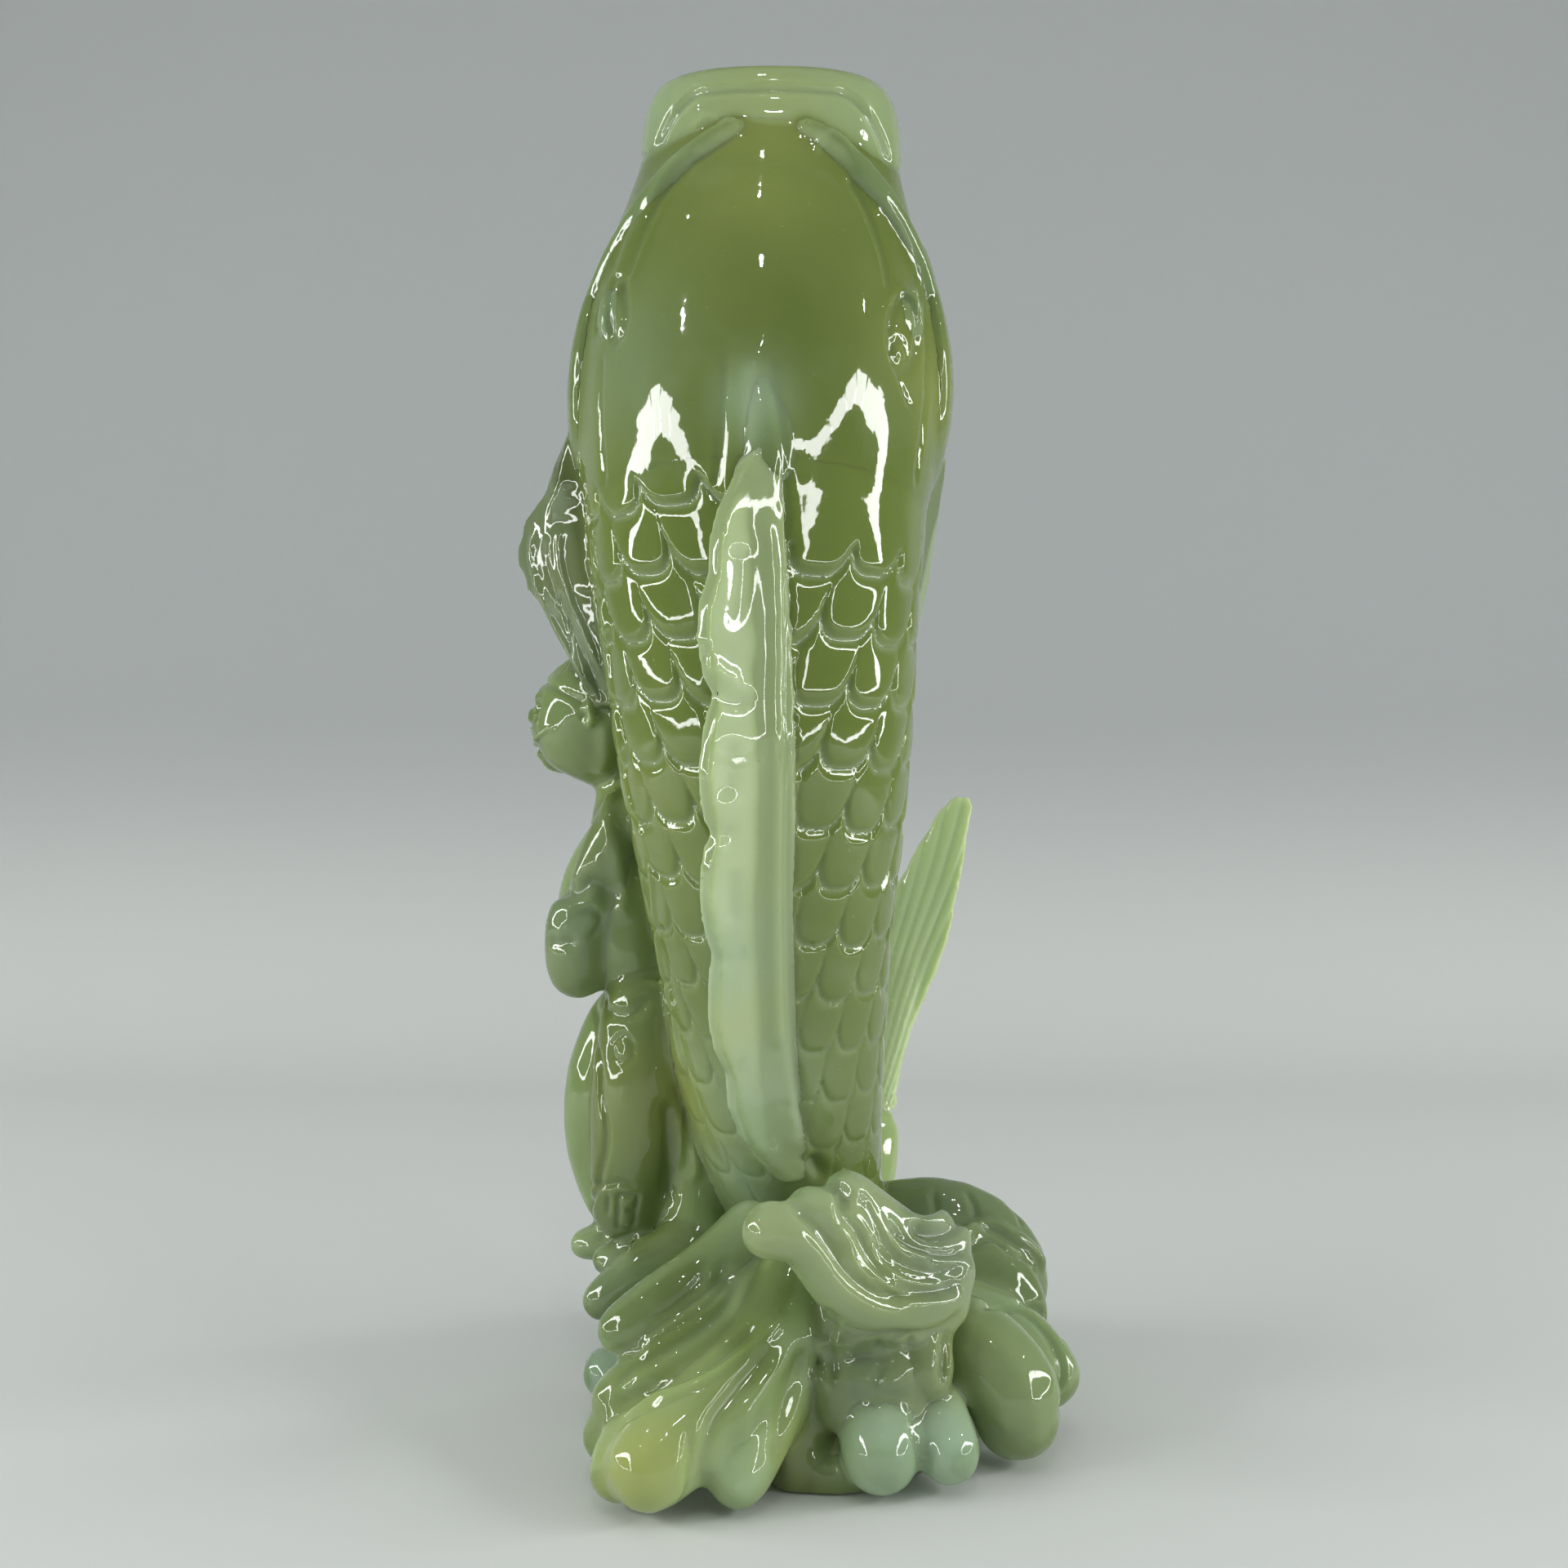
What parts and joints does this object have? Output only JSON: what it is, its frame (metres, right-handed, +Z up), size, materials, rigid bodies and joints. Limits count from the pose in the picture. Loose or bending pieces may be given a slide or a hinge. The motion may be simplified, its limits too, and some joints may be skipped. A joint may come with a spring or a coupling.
{
  "type": "jade carp and child figurine",
  "caption": "Polished pale green jade carving of a carp leaping mouth-up from breaking waves, with a child leaning on its flank, standing on a flat carved wave base.",
  "frame": {"origin": "centre of the base's ground-flat underside, on the surface it stands on", "axes": "+Z up towards the carp's open mouth, -Y towards the carp's back and dorsal fin, -X towards the child"},
  "size_m": [0.1015, 0.1112, 0.24],
  "materials": {
    "jade_deep": "polished, translucent",
    "jade_mid": "polished, translucent",
    "jade_pale": "polished, translucent",
    "jade_fin": "polished, translucent",
    "jade_mint": "polished, translucent"
  },
  "bodies": {
    "root": {"base_slab": "jade_mid", "rock_mound": "jade_deep", "water_column": "jade_deep", "carp_trunk": "jade_deep", "carp_tail_stalk": "jade_mid", "carp_head": "jade_deep", "mouth_ring": "jade_mid", "left_gill_cover": "jade_mid", "right_gill_cover": "jade_mid", "left_eye": "jade_pale", "right_eye": "jade_pale", "left_barbel": "jade_pale", "right_barbel": "jade_pale", "dorsal_fin": "jade_fin", "nape_ridge": "jade_mid", "left_pectoral_fin": "jade_mid", "right_pectoral_fin": "jade_mid", "left_pelvic_fin": "jade_fin", "right_pelvic_fin": "jade_fin", "anal_fin": "jade_fin", "tail_lobe_right": "jade_fin", "tail_lobe_left": "jade_fin", "child_head": "jade_mid", "child_topknot": "jade_mid", "child_torso": "jade_deep", "child_left_arm": "jade_mid", "child_right_arm": "jade_mid", "child_left_hand": "jade_mid", "child_right_hand": "jade_mid", "child_left_leg": "jade_deep", "child_right_leg": "jade_deep", "child_left_shoe": "jade_mid", "child_right_shoe": "jade_mid", "crest_front_centre": "jade_pale", "swell_front_centre": "jade_mid", "lobes_front_centre": "jade_mint", "crest_front_left": "jade_mid", "crest_mid_left": "jade_mid", "swell_mid_left": "jade_mid", "dome_left": "jade_mint", "finger_left": "jade_deep", "lobe_left": "jade_mint", "crest_right": "jade_mid", "crest_right_rear": "jade_deep", "crest_rear_right": "jade_mid", "crest_rear_centre": "jade_mid", "crest_rear_left": "jade_mid"}
  },
  "joints": []
}
